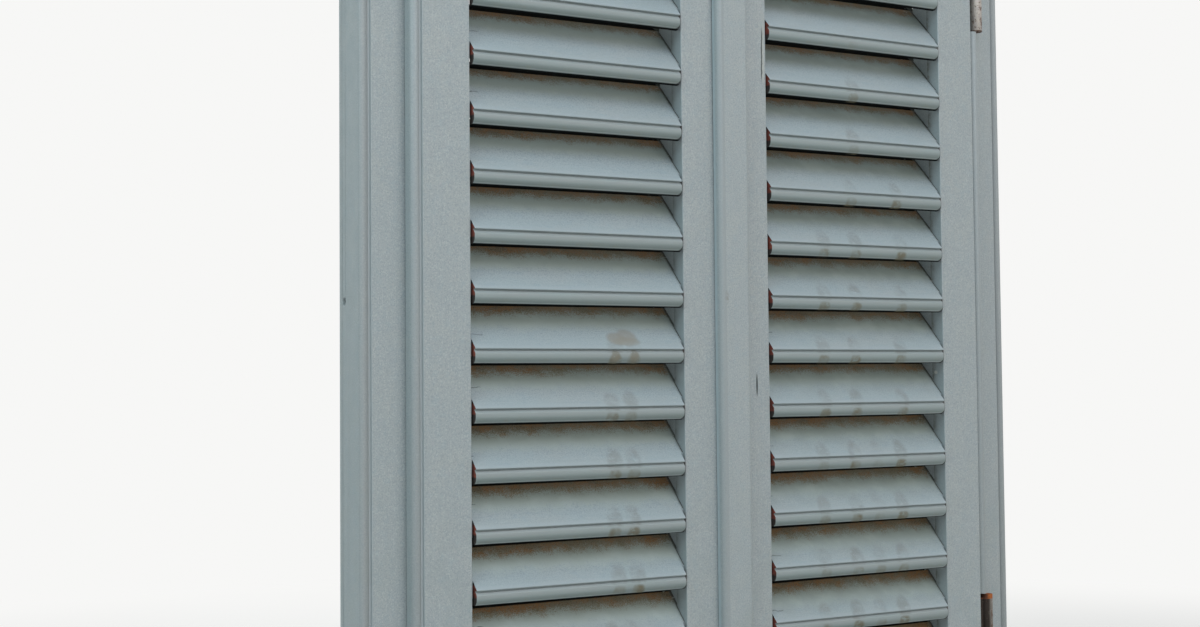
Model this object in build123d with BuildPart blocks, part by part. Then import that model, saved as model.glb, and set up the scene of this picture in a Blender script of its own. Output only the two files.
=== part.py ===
"""A pair of louvred wooden shutter leaves, hinged in their frame.

X runs across the pair, Y from the outdoor face to the indoor face, Z up. The origin is at the middle of
the sill's underside. The right leaf is modelled on +X, and the left leaf is its mirror image.
"""

import os
from math import asin, cos, radians, sin, sqrt, tan

from build123d import *

os.makedirs("parts", exist_ok=True)

# Sizes of the leaves
leaf_thickness = 46.0
slat_opening = 252.7
hinge_stile_width = 63.7
meeting_stile_width = 55.0
meeting_gap = 2.0
meeting_bevel = 2.5
bottom_rail_face = 124.0
top_rail_face = 114.0
arris_round = 1.0

# Slats: boards that slope down to the outside, with a lip, a groove and a drip nose
slat_count = 15
slat_pitch = 60.0
slat_angle = 45.0
slat_thickness = 12.5
slat_lip = 4.0
slat_back = 9.0
lip_height = 0.9
groove_height = 1.6
groove_past_nose = 0.8
nose_setback = 2.2
nose_bevel = 2.8
nose_round = 7.0
nose_height = 16.0
drip_width = 2.5
nose_end_gap = 2.6
bare_end_depth = 5.0
housing_depth = 8.0
housing_fit = 0.15

# A shallow channel in the stiles' inner faces, behind the weathered front
channel_from_face = 20.0
channel_depth = 1.5

# Tenons of the rails
tenon_thickness = 14.0
tenon_length = 38.0
tenon_shoulder = 8.0
tenon_fit = 0.15

# Frame, and how the leaves lap over it
member_width = 59.6
frame_depth = 54.0
lap = 12.0
lip_thickness = 16.1
lap_gap = 0.5
edge_gap = 2.0
bead_radius = 5.0
quirk_width = 2.0
quirk_depth = 3.0
fixing_radius = 4.0
fixing_spacing = 440.0
fixings_per_jamb = 3

# Strip that covers the joint between the leaves
strip_width = 40.0
strip_overlap = 16.0
strip_thickness = 12.0
strip_round = 5.4
strip_relief = 0.4

# Hinges: two knuckles on a pin, with tongues let into the wood
hinge_from_end = 208.0
hinge_offset = 4.4
barrel_length = 88.0
barrel_wall = 3.45
barrel_cap = 5.0
barrel_gap = 2.0
knuckle_gap = 0.4
pin_radius = 3.5
pin_fit = 0.05
pin_end_gap = 0.5
tongue_thickness = 2.5
tongue_inset = 4.0
leaf_tongue_length = 45.0
frame_tongue_length = 40.0
tongue_fit = 0.15
notch_gap = 1.2

# Espagnolette on the back of the right leaf
rod_radius = 6.0
rod_fit = 0.08
rod_end_gap = 12.0
hook_height = 7.0
hook_reach = 22.0
hook_root_wall = 2.0
hook_tip_radius = 4.0
collar_wall = 2.5
collar_height = 5.0
collar_gap = 0.3
sleeve_wall = 3.0
sleeve_length = 18.0
guide_width = 30.0
plate_thickness = 3.0
guide_from_end = 90.0
guide_from_handle = 110.0
screw_room = 12.0
peg_radius = 4.0
peg_reach = 20.0
peg_gap = 0.6
peg_leaf_gap = 2.3
peg_past_hook = 1.0
keeper_length = 46.0
keeper_width = 20.0
keeper_thickness = 4.0
keeper_edge = 0.5
boss_wall = 2.8
boss_height = 18.0
lever_root_radius = 7.0
lever_neck_radius = 4.5
lever_neck_past_catch = 3.0
lever_grip_radius = 8.0
lever_grip_length = 45.0
lever_thickness = 8.0
catch_gap = 1.0
catch_width = 16.0
catch_ear = 3.0
catch_past_lever = 3.0

# Places worked out from the sizes
slope = tan(radians(slat_angle))
slat_drop = slat_thickness / cos(radians(slat_angle))
leaf_height = bottom_rail_face + (slat_count + 1) * slat_pitch - nose_height + top_rail_face
leaf_bottom_z = member_width - lap
leaf_top_z = leaf_bottom_z + leaf_height
leaf_middle_z = (leaf_bottom_z + leaf_top_z) / 2
frame_height = leaf_height + 2 * leaf_bottom_z
body_bottom_z = leaf_bottom_z + lap + edge_gap
body_top_z = leaf_top_z - lap - edge_gap

meeting_x = meeting_gap / 2
slats_start_x = meeting_x + meeting_stile_width
slats_end_x = slats_start_x + slat_opening
slats_middle_x = (slats_start_x + slats_end_x) / 2
leaf_edge_x = slats_end_x + hinge_stile_width
frame_inner_x = leaf_edge_x - lap
body_edge_x = frame_inner_x - edge_gap
frame_outer_x = frame_inner_x + member_width

frame_front_y = -frame_depth / 2
frame_back_y = frame_depth / 2
leaf_face_y = frame_front_y - lap_gap - lip_thickness
lip_back_y = leaf_face_y + lip_thickness
leaf_back_y = leaf_face_y + leaf_thickness

arris_y = leaf_face_y - slat_lip
first_arris_z = leaf_bottom_z + bottom_rail_face + slat_pitch
last_arris_z = first_arris_z + (slat_count - 1) * slat_pitch
slat_depth = slat_lip + leaf_thickness + slat_back
top_rail_z = last_arris_z + slat_pitch - nose_height
bottom_rail_z = leaf_bottom_z + bottom_rail_face
bevel_rise = leaf_thickness * slope

barrel_radius = pin_radius + pin_fit + barrel_wall
hinge_x = leaf_edge_x + hinge_offset
hinge_y = frame_front_y - barrel_gap - barrel_radius
hinge_heights = {"top": leaf_top_z - hinge_from_end, "bottom": leaf_bottom_z + hinge_from_end}
knuckle_length = (barrel_length - knuckle_gap) / 2
tongue_height = knuckle_length - 2 * tongue_inset
notch_x = leaf_edge_x - 2 * bead_radius - quirk_width

hook_root_radius = rod_radius + hook_root_wall
hook_taper = asin((hook_root_radius - hook_tip_radius) / hook_reach)
hook_half_width = (hook_root_radius - peg_reach * sin(hook_taper)) / cos(hook_taper)
peg_y = leaf_back_y + peg_leaf_gap + peg_radius
rod_x = meeting_x + meeting_stile_width / 2
rod_y = peg_y + hook_half_width + (peg_radius + peg_gap) / cos(hook_taper)
rod_top_z = leaf_top_z - lap - rod_end_gap
rod_bottom_z = leaf_bottom_z + lap + rod_end_gap
guide_height = sleeve_length + 2 * screw_room
guide_heights = [
    leaf_bottom_z + guide_from_end,
    leaf_middle_z - guide_from_handle,
    leaf_middle_z + guide_from_handle,
    leaf_top_z - guide_from_end,
]
peg_x = rod_x - peg_reach
lever_neck_at = 2 * rod_x + lever_neck_past_catch
lever_grip_at = lever_neck_at + lever_grip_length


def write(piece, name):
    """Label a finished piece and write its file."""
    piece.part.label = name
    export_step(piece.part, f"parts/{name}.step")


def write_pair(piece, name):
    """Write a piece of the right leaf, and its mirror image for the left leaf."""
    write(piece, f"right_{name}")
    with BuildPart() as mirrored:
        mirror(piece.part, about=Plane.YZ)
    write(mirrored, f"left_{name}")


def moulded_edge(edge_x, front_y):
    """Draw a quirk cut into the face, then the bead that rounds the edge."""
    bead_x = edge_x - bead_radius
    quirk_x = bead_x - bead_radius - quirk_width
    quirk_y = front_y + quirk_depth
    bead_start_x = bead_x - sqrt(bead_radius**2 - (bead_radius - quirk_depth) ** 2)
    Polyline((quirk_x, front_y), (quirk_x, quirk_y), (bead_start_x, quirk_y))
    ThreePointArc((bead_start_x, quirk_y), (bead_x, front_y), (edge_x, front_y + bead_radius))
    return (quirk_x, front_y), (edge_x, front_y + bead_radius)


# Frame: four moulded members, mitred at the corners
frame_members = {
    "jamb_right": (Vector(frame_inner_x, 0, 0), Vector(1, 0, 0), frame_height),
    "jamb_left": (Vector(-frame_inner_x, 0, frame_height), Vector(-1, 0, 0), frame_height),
    "head": (Vector(frame_outer_x, 0, frame_height - member_width), Vector(0, 0, 1), 2 * frame_outer_x),
    "sill": (Vector(-frame_outer_x, 0, member_width), Vector(0, 0, -1), 2 * frame_outer_x),
}

for member_name, (start, outward, length) in frame_members.items():
    along = outward.cross(Vector(0, 1, 0))
    with BuildPart() as member:
        with BuildSketch(Plane(origin=start, x_dir=outward, z_dir=along)):
            with BuildLine():
                quirk_point, bead_point = moulded_edge(member_width, frame_front_y)
                Polyline(
                    bead_point,
                    (member_width, frame_back_y),
                    (0, frame_back_y),
                    (0, frame_front_y),
                    quirk_point,
                )
            make_face()
        extrude(amount=length)
        for end, inward in ((start, along), (start + along * length, along * -1)):
            mitre = Plane(origin=end + outward * member_width, z_dir=outward + inward)
            split(bisect_by=mitre, keep=Keep.TOP)
        if member_name.startswith("jamb"):
            side = outward.X
            for hinge_z in hinge_heights.values():
                slot_z = hinge_z - (knuckle_gap + knuckle_length) / 2
                with Locations((side * hinge_x, frame_front_y, slot_z)):
                    Box(
                        tongue_thickness + 2 * tongue_fit,
                        2 * (hinge_y + frame_tongue_length + tongue_fit - frame_front_y),
                        tongue_height + 2 * tongue_fit,
                        mode=Mode.SUBTRACT,
                    )
            fixing_y = (leaf_back_y + frame_back_y) / 2
            face_plane = Plane(
                origin=(side * frame_inner_x, fixing_y, frame_height / 2),
                x_dir=(0, 1, 0),
                z_dir=(-side, 0, 0),
            )
            with Locations(face_plane):
                with GridLocations(0, fixing_spacing, 1, fixings_per_jamb):
                    Hole(fixing_radius, depth=member_width)
    write(member, member_name)


def rebate_ends():
    """Cut the back of a stile's two ends away, where its lip laps over the head and the sill."""
    for low_z, high_z in ((leaf_bottom_z, body_bottom_z), (body_top_z, leaf_top_z)):
        with Locations((0, lip_back_y, low_z)):
            Box(leaf_edge_x, leaf_thickness, high_z - low_z, align=Align.MIN, mode=Mode.SUBTRACT)


def cut_inner_face(inner_x, into):
    """Cut a stile's inner face: the channel, the slats' slanted housings and the rails' mortises."""
    channel_height = top_rail_z - bottom_rail_z - bevel_rise
    with Locations((inner_x, leaf_face_y + channel_from_face, bottom_rail_z + bevel_rise)):
        Box(
            2 * channel_depth,
            leaf_thickness,
            channel_height,
            align=(Align.CENTER, Align.MIN, Align.MIN),
            mode=Mode.SUBTRACT,
        )

    near = slat_lip + bare_end_depth - housing_fit
    far = slat_depth + housing_fit
    slats_middle_z = (first_arris_z + last_arris_z) / 2
    housings = Plane(origin=(inner_x, arris_y, slats_middle_z), x_dir=(0, 1, 0), z_dir=(1, 0, 0))
    with BuildSketch(housings) as housing_section:
        with GridLocations(0, slat_pitch, 1, slat_count):
            Polygon(
                (near, near * slope + housing_fit),
                (near, near * slope - slat_drop - housing_fit),
                (far, far * slope - slat_drop - housing_fit),
                (far, far * slope + housing_fit),
                align=None,
            )
    extrude(
        housing_section.sketch,
        amount=into * (housing_depth + housing_fit),
        mode=Mode.SUBTRACT,
    )

    for low_z, high_z in tenon_heights.values():
        with Locations((inner_x, (leaf_face_y + leaf_back_y) / 2, (low_z + high_z) / 2)):
            Box(
                2 * (tenon_length + tenon_fit),
                tenon_thickness + 2 * tenon_fit,
                high_z - low_z + 2 * tenon_fit,
                mode=Mode.SUBTRACT,
            )


# Each tenon keeps a shoulder to the rail's edges, and clears the bevel parallel to the slats
tenon_bevel_rise = (leaf_thickness + tenon_thickness) / 2 * slope
tenon_heights = {
    "top_rail": (top_rail_z + tenon_bevel_rise + tenon_shoulder, body_top_z - tenon_shoulder),
    "bottom_rail": (body_bottom_z + tenon_shoulder, bottom_rail_z - tenon_shoulder),
}

# Hinge stile: lipped over the jamb, its outer edge beaded, notched for the hinge barrels
with BuildPart() as hinge_stile:
    with BuildSketch(Plane.XY.offset(leaf_bottom_z)) as hinge_stile_section:
        with BuildLine():
            quirk_point, bead_point = moulded_edge(leaf_edge_x, leaf_face_y)
            Polyline(
                bead_point,
                (leaf_edge_x, lip_back_y),
                (body_edge_x, lip_back_y),
                (body_edge_x, leaf_back_y),
                (slats_end_x, leaf_back_y),
                (slats_end_x, leaf_face_y),
                quirk_point,
            )
        make_face()
        front_corner = hinge_stile_section.vertices().filter_by_position(
            Axis.X, slats_end_x - 0.01, slats_end_x + 0.01
        )
        fillet(front_corner.sort_by(Axis.Y)[0], arris_round)
    extrude(amount=leaf_height)
    rebate_ends()
    cut_inner_face(slats_end_x, 1)
    for hinge_z in hinge_heights.values():
        with Locations((notch_x, leaf_face_y, hinge_z)):
            Box(
                leaf_edge_x - notch_x,
                lip_thickness,
                barrel_length + 2 * notch_gap,
                align=(Align.MIN, Align.MIN, Align.CENTER),
                mode=Mode.SUBTRACT,
            )
        slot_end_x = hinge_x - leaf_tongue_length - tongue_fit
        slot_z = hinge_z + (knuckle_gap + knuckle_length) / 2
        with Locations((slot_end_x, hinge_y, slot_z)):
            Box(
                notch_x - slot_end_x,
                tongue_thickness + 2 * tongue_fit,
                tongue_height + 2 * tongue_fit,
                align=(Align.MIN, Align.CENTER, Align.CENTER),
                mode=Mode.SUBTRACT,
            )
write_pair(hinge_stile, "hinge_stile")

# Meeting stile: its edge is bevelled, so that the closed leaves swing past each other
with BuildPart() as meeting_stile:
    with BuildSketch(Plane.XY.offset(leaf_bottom_z)) as meeting_stile_section:
        with BuildLine():
            Polyline(
                (meeting_x, leaf_face_y),
                (slats_start_x, leaf_face_y),
                (slats_start_x, leaf_back_y),
                (meeting_x + meeting_bevel, leaf_back_y),
                close=True,
            )
        make_face()
        fillet(meeting_stile_section.vertices().group_by(Axis.Y)[0], arris_round)
    extrude(amount=leaf_height)
    rebate_ends()
    cut_inner_face(slats_start_x, -1)
write_pair(meeting_stile, "meeting_stile")

# Rails: tenoned into the stiles, their inner edges bevelled parallel to the slats
rail_plane = Plane(origin=(slats_middle_x, 0, 0), x_dir=(0, 1, 0), z_dir=(1, 0, 0))
rail_outlines = {
    "top_rail": [
        (leaf_face_y, top_rail_z),
        (leaf_face_y, leaf_top_z),
        (lip_back_y, leaf_top_z),
        (lip_back_y, body_top_z),
        (leaf_back_y, body_top_z),
        (leaf_back_y, top_rail_z + bevel_rise),
    ],
    "bottom_rail": [
        (leaf_face_y, bottom_rail_z),
        (leaf_face_y, leaf_bottom_z),
        (lip_back_y, leaf_bottom_z),
        (lip_back_y, body_bottom_z),
        (leaf_back_y, body_bottom_z),
        (leaf_back_y, bottom_rail_z + bevel_rise),
    ],
}

for rail_name, outline in rail_outlines.items():
    low_z, high_z = tenon_heights[rail_name]
    with BuildPart() as rail:
        with BuildSketch(rail_plane):
            Polygon(*outline, align=None)
        extrude(amount=slat_opening / 2, both=True)
        with Locations((slats_middle_x, (leaf_face_y + leaf_back_y) / 2, (low_z + high_z) / 2)):
            Box(slat_opening + 2 * tenon_length, tenon_thickness, high_z - low_z)
    write_pair(rail, rail_name)

# Slats: the nose stops short of the stiles, and the board behind it runs into their housings
for slat in range(slat_count):
    arris_z = first_arris_z + slat * slat_pitch
    slat_plane = Plane(origin=(slats_middle_x, arris_y, arris_z), x_dir=(0, 1, 0), z_dir=(1, 0, 0))
    nose_top_z = -lip_height - groove_height
    groove_y = nose_setback + groove_past_nose
    round_start = (0, nose_round - nose_height)
    round_end = (nose_round, -nose_height)
    drip_y = nose_round + drip_width
    tongue_y = slat_lip + bare_end_depth
    with BuildPart() as board:
        with BuildSketch(slat_plane):
            with BuildLine():
                Polyline(
                    (0, 0),
                    (0, -lip_height),
                    (groove_y, -lip_height),
                    (groove_y, nose_top_z),
                    (nose_setback, nose_top_z),
                    (0, nose_top_z - nose_bevel),
                    round_start,
                )
                TangentArc(round_start, round_end, tangent=(0, -1))
                Polyline(
                    round_end,
                    (drip_y, -nose_height),
                    (drip_y, drip_y * slope - slat_drop),
                    (slat_depth, slat_depth * slope - slat_drop),
                    (slat_depth, slat_depth * slope),
                    (0, 0),
                )
            make_face()
        extrude(amount=slat_opening / 2 - nose_end_gap, both=True)
        with BuildSketch(slat_plane):
            Polygon(
                (tongue_y, tongue_y * slope),
                (tongue_y, tongue_y * slope - slat_drop),
                (slat_depth, slat_depth * slope - slat_drop),
                (slat_depth, slat_depth * slope),
                align=None,
            )
        extrude(amount=slat_opening / 2 + housing_depth, both=True)
    write_pair(board, f"slat_{slat + 1:02d}")

# Cover strip: on the right leaf's face, lapping over the left leaf with a hair of clearance
with BuildPart() as cover_strip:
    with BuildSketch(Plane.XY.offset(leaf_bottom_z)) as strip_section:
        with BuildLine():
            Polyline(
                (-strip_overlap, leaf_face_y - strip_relief),
                (-strip_overlap, leaf_face_y - strip_thickness),
                (strip_width - strip_overlap, leaf_face_y - strip_thickness),
                (strip_width - strip_overlap, leaf_face_y),
                (meeting_x, leaf_face_y),
                (meeting_x, leaf_face_y - strip_relief),
                close=True,
            )
        make_face()
        fillet(strip_section.vertices().group_by(Axis.Y)[0], strip_round)
    extrude(amount=leaf_height)
write(cover_strip, "cover_strip")

# Hinges: the upper knuckle turns with the leaf on the pin of the lower one, which the frame holds
for hinge_name, hinge_z in hinge_heights.items():
    upper_z = hinge_z + knuckle_gap / 2
    lower_z = hinge_z - knuckle_gap / 2 - knuckle_length
    with BuildPart() as leaf_half:
        with Locations((hinge_x, hinge_y, upper_z)):
            Cylinder(barrel_radius, knuckle_length, align=(Align.CENTER, Align.CENTER, Align.MIN))
        with Locations((hinge_x, hinge_y, upper_z + knuckle_length / 2)):
            Box(
                leaf_tongue_length,
                tongue_thickness,
                tongue_height,
                align=(Align.MAX, Align.CENTER, Align.CENTER),
            )
        with Locations((hinge_x, hinge_y, upper_z)):
            Cylinder(
                pin_radius + pin_fit,
                knuckle_length - barrel_cap,
                align=(Align.CENTER, Align.CENTER, Align.MIN),
                mode=Mode.SUBTRACT,
            )
    write_pair(leaf_half, f"{hinge_name}_hinge_leaf_half")

    with BuildPart() as frame_half:
        with Locations((hinge_x, hinge_y, lower_z)):
            Cylinder(barrel_radius, knuckle_length, align=(Align.CENTER, Align.CENTER, Align.MIN))
        with Locations((hinge_x, hinge_y, lower_z)):
            Cylinder(
                pin_radius,
                2 * knuckle_length + knuckle_gap - barrel_cap - pin_end_gap,
                align=(Align.CENTER, Align.CENTER, Align.MIN),
            )
        with Locations((hinge_x, hinge_y, lower_z + knuckle_length / 2)):
            Box(
                tongue_thickness,
                frame_tongue_length,
                tongue_height,
                align=(Align.CENTER, Align.MIN, Align.CENTER),
            )
    write_pair(frame_half, f"{hinge_name}_hinge_frame_half")

# Espagnolette rod: turning it swings the hooks at its ends behind the keepers' pegs
with BuildPart() as rod:
    with Locations((rod_x, rod_y, rod_bottom_z)):
        Cylinder(
            rod_radius,
            rod_top_z - rod_bottom_z,
            align=(Align.CENTER, Align.CENTER, Align.MIN),
        )
    for hook_z in (rod_bottom_z, rod_top_z - hook_height):
        with BuildSketch(Plane(origin=(rod_x, rod_y, hook_z))):
            Circle(hook_root_radius)
            with Locations((hook_reach, 0)):
                Circle(hook_tip_radius)
            make_hull()
        extrude(amount=hook_height)
    collar_offset = sleeve_length / 2 + collar_gap + collar_height / 2
    for collar_z in (guide_heights[1] - collar_offset, guide_heights[1] + collar_offset):
        with Locations((rod_x, rod_y, collar_z)):
            Cylinder(rod_radius + collar_wall, collar_height)
write(rod, "espagnolette_rod")

# Lever: a boss on the rod, a flat neck and a rounded grip
with BuildPart() as lever:
    with BuildSketch(Plane(origin=(rod_x, rod_y, leaf_middle_z), x_dir=(1, 0, 0), z_dir=(0, -1, 0))):
        with BuildSketch(mode=Mode.PRIVATE) as neck:
            Circle(lever_root_radius)
            with Locations((lever_neck_at, 0)):
                Circle(lever_neck_radius)
            make_hull()
        with BuildSketch(mode=Mode.PRIVATE) as grip:
            with Locations((lever_neck_at, 0)):
                Circle(lever_neck_radius)
            with Locations((lever_grip_at, 0)):
                Circle(lever_grip_radius)
            make_hull()
        add(neck.sketch)
        add(grip.sketch)
    extrude(amount=lever_thickness / 2, both=True)
    with Locations((rod_x, rod_y, leaf_middle_z)):
        Cylinder(rod_radius + rod_fit + boss_wall, boss_height)
        Cylinder(rod_radius + rod_fit, boss_height, mode=Mode.SUBTRACT)
write(lever, "espagnolette_handle")

# Guides: screwed plates, each with a sleeve for the rod
sleeve_radius = rod_radius + rod_fit + sleeve_wall
with BuildPart() as guides:
    for guide_z in guide_heights:
        with Locations((rod_x, leaf_back_y, guide_z)):
            Box(
                guide_width,
                plate_thickness,
                guide_height,
                align=(Align.CENTER, Align.MIN, Align.CENTER),
            )
            Box(
                2 * sleeve_radius,
                rod_y - leaf_back_y,
                sleeve_length,
                align=(Align.CENTER, Align.MIN, Align.CENTER),
            )
        with Locations((rod_x, rod_y, guide_z)):
            Cylinder(sleeve_radius, sleeve_length)
            Cylinder(rod_radius + rod_fit, sleeve_length, mode=Mode.SUBTRACT)
write(guides, "espagnolette_guides")

# Keepers: plates on the head and the sill, each with a peg that a hook closes on
peg_length = rod_end_gap + hook_height + peg_past_hook
keeper_low_y = peg_y - peg_radius - keeper_edge
with BuildPart() as keepers:
    for keeper_z, inward in ((leaf_bottom_z + lap, 1), (leaf_top_z - lap, -1)):
        keeper_plane = Plane(origin=(peg_x, 0, keeper_z), x_dir=(1, 0, 0), z_dir=(0, 0, inward))
        plate_middle_y = inward * (keeper_low_y + keeper_width / 2)
        with BuildSketch(keeper_plane):
            with Locations((0, plate_middle_y)):
                Rectangle(keeper_length, keeper_width)
        extrude(amount=keeper_thickness)
        with BuildSketch(keeper_plane):
            with Locations((0, inward * peg_y)):
                Circle(peg_radius)
        extrude(amount=peg_length)
write(keepers, "espagnolette_keepers")

# Catch: on the left leaf, its ears hold the lever while the pair is shut fast
catch_half_slot = lever_neck_radius + catch_gap
catch_seat_y = rod_y - lever_thickness / 2 - catch_gap
catch_end_y = rod_y + lever_thickness / 2 + catch_past_lever
catch_height = 2 * (catch_half_slot + catch_ear) + 2 * screw_room
with BuildPart() as catch:
    with Locations((-rod_x, leaf_back_y, leaf_middle_z)):
        Box(
            catch_width,
            plate_thickness,
            catch_height,
            align=(Align.CENTER, Align.MIN, Align.CENTER),
        )
        Box(
            catch_width,
            catch_end_y - leaf_back_y,
            2 * (catch_half_slot + catch_ear),
            align=(Align.CENTER, Align.MIN, Align.CENTER),
        )
    with Locations((-rod_x, catch_seat_y, leaf_middle_z)):
        Box(
            catch_width,
            catch_end_y - catch_seat_y,
            2 * catch_half_slot,
            align=(Align.CENTER, Align.MIN, Align.CENTER),
            mode=Mode.SUBTRACT,
        )
write(catch, "handle_catch")
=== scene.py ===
from math import pi
from random import Random

import bmesh
import bpy
from mathutils import Matrix, Vector


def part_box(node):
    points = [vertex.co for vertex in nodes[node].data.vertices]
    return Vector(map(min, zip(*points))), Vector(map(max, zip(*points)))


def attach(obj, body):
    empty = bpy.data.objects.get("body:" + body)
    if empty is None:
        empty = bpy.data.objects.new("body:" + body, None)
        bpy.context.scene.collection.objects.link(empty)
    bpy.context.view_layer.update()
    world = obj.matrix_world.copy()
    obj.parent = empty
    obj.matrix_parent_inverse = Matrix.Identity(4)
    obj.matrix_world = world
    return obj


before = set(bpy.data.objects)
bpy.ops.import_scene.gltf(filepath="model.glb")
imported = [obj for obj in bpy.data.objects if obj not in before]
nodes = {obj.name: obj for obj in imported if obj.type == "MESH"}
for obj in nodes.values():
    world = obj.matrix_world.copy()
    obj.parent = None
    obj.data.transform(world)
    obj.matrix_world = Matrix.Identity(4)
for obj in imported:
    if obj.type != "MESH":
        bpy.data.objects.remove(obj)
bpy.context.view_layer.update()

# Camera: a 50 mm lens from the left, a little below the middle of the shutters, turned 30 degrees
# to the right and slightly up.
camera_place = (-1.0316, -1.5420, 0.5550)
camera_turn = -0.526830
camera_tilt = 0.042041
camera_roll = -0.008797
camera_data = bpy.data.cameras.new("camera")
camera_data.lens = 50
camera_data.sensor_width = 36
camera_data.clip_end = 200
camera = bpy.data.objects.new("camera", camera_data)
bpy.context.collection.objects.link(camera)
camera.matrix_world = (
    Matrix.Translation(camera_place)
    @ Matrix.Rotation(camera_turn, 4, "Z")
    @ Matrix.Rotation(pi / 2 + camera_tilt, 4, "X")
    @ Matrix.Rotation(camera_roll, 4, "Z")
)
bpy.context.scene.camera = camera
bpy.context.scene.view_settings.view_transform = "Standard"

# Studio: a pale floor under the sill that runs out into a pale even room, and soft lamps in front,
# above, to the left and behind.
def put(tree, kind, settings=None, **inputs):
    """Add a shader node, with its settings, its values and its links from other nodes."""
    made = tree.nodes.new("ShaderNode" + kind)
    for name, value in (settings or {}).items():
        setattr(made, name, value)
    for name, value in inputs.items():
        place = int(name[1:]) if name[0] == "_" else name.replace("_", " ")
        if isinstance(value, bpy.types.NodeSocket):
            tree.links.new(value, made.inputs[place])
        else:
            made.inputs[place].default_value = value
    return made


studio_white = (0.93, 0.93, 0.92, 1)
room_tint = (0.90, 0.98, 1.0, 1)
room_strength = 0.48
world = bpy.data.worlds.new("studio")
world.use_nodes = True
air = world.node_tree
air.nodes.clear()
ray = put(air, "LightPath").outputs
mirrored = put(
    air, "Math", {"operation": "MAXIMUM"}, _0=ray["Is Glossy Ray"], _1=ray["Is Transmission Ray"]
)
looked_at = put(
    air, "Math", {"operation": "MAXIMUM"}, _0=ray["Is Camera Ray"], _1=mirrored.outputs[0]
)
room_light = put(air, "Background", Color=room_tint, Strength=room_strength)
room_seen = put(air, "Background", Color=studio_white, Strength=1.0)
room = put(
    air, "MixShader", _0=looked_at.outputs[0], _1=room_light.outputs[0], _2=room_seen.outputs[0]
)
put(air, "OutputWorld", Surface=room.outputs[0])
bpy.context.scene.world = world

floor_radius = 60
floor_fades_from = 1.5
floor_fades_to = 3.0
floor_tint = (0.81, 0.785, 0.765, 1)
floor_mesh = bpy.data.meshes.new("floor")
shape = bmesh.new()
bmesh.ops.create_circle(shape, cap_ends=True, segments=64, radius=floor_radius)
shape.to_mesh(floor_mesh)
shape.free()
floor = bpy.data.objects.new("floor", floor_mesh)
bpy.context.collection.objects.link(floor)
floor_paint = bpy.data.materials.new("floor")
floor_paint.use_nodes = True
ground = floor_paint.node_tree
near_floor = ground.nodes["Principled BSDF"]
near_floor.inputs["Base Color"].default_value = floor_tint
near_floor.inputs["Roughness"].default_value = 0.9
from_middle = put(
    ground, "VectorMath", {"operation": "LENGTH"}, _0=put(ground, "TexCoord").outputs["Object"]
)
far = put(
    ground, "MapRange", {"interpolation_type": "SMOOTHSTEP"},
    Value=from_middle.outputs["Value"], _1=floor_fades_from, _2=floor_fades_to,
)
far_and_seen = put(
    ground, "Math", {"operation": "MULTIPLY"},
    _0=far.outputs[0], _1=put(ground, "LightPath").outputs["Is Camera Ray"],
)
far_floor = put(ground, "Emission", Color=studio_white, Strength=1.0)
whole_floor = put(
    ground, "MixShader",
    _0=far_and_seen.outputs[0], _1=near_floor.outputs[0], _2=far_floor.outputs[0],
)
ground.links.new(whole_floor.outputs[0], ground.nodes["Material Output"].inputs["Surface"])
floor_mesh.materials.append(floor_paint)

lamps_aim_at = Vector((0, 0, 0.64))
for lamp_name, place, size, power, tint in (
    ("front_lamp", (0.9, -3.2, 1.7), 2.6, 19, (1.0, 0.86, 0.66)),
    ("top_lamp", (0.0, -2.4, 3.2), 2.4, 52, (0.84, 0.88, 1.0)),
    ("left_lamp", (-2.1, -0.6, 2.0), 1.6, 20, (0.72, 0.94, 1.0)),
    ("back_lamp", (0.8, 2.8, 2.2), 2.4, 40, (1.0, 1.0, 1.0)),
):
    lamp_data = bpy.data.lights.new(lamp_name, "AREA")
    lamp_data.shape = "DISK"
    lamp_data.size = size
    lamp_data.energy = power
    lamp_data.color = tint
    lamp = bpy.data.objects.new(lamp_name, lamp_data)
    bpy.context.collection.objects.link(lamp)
    lamp.location = place
    lamp.rotation_euler = (lamps_aim_at - Vector(place)).to_track_quat("-Z", "Y").to_euler()

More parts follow.
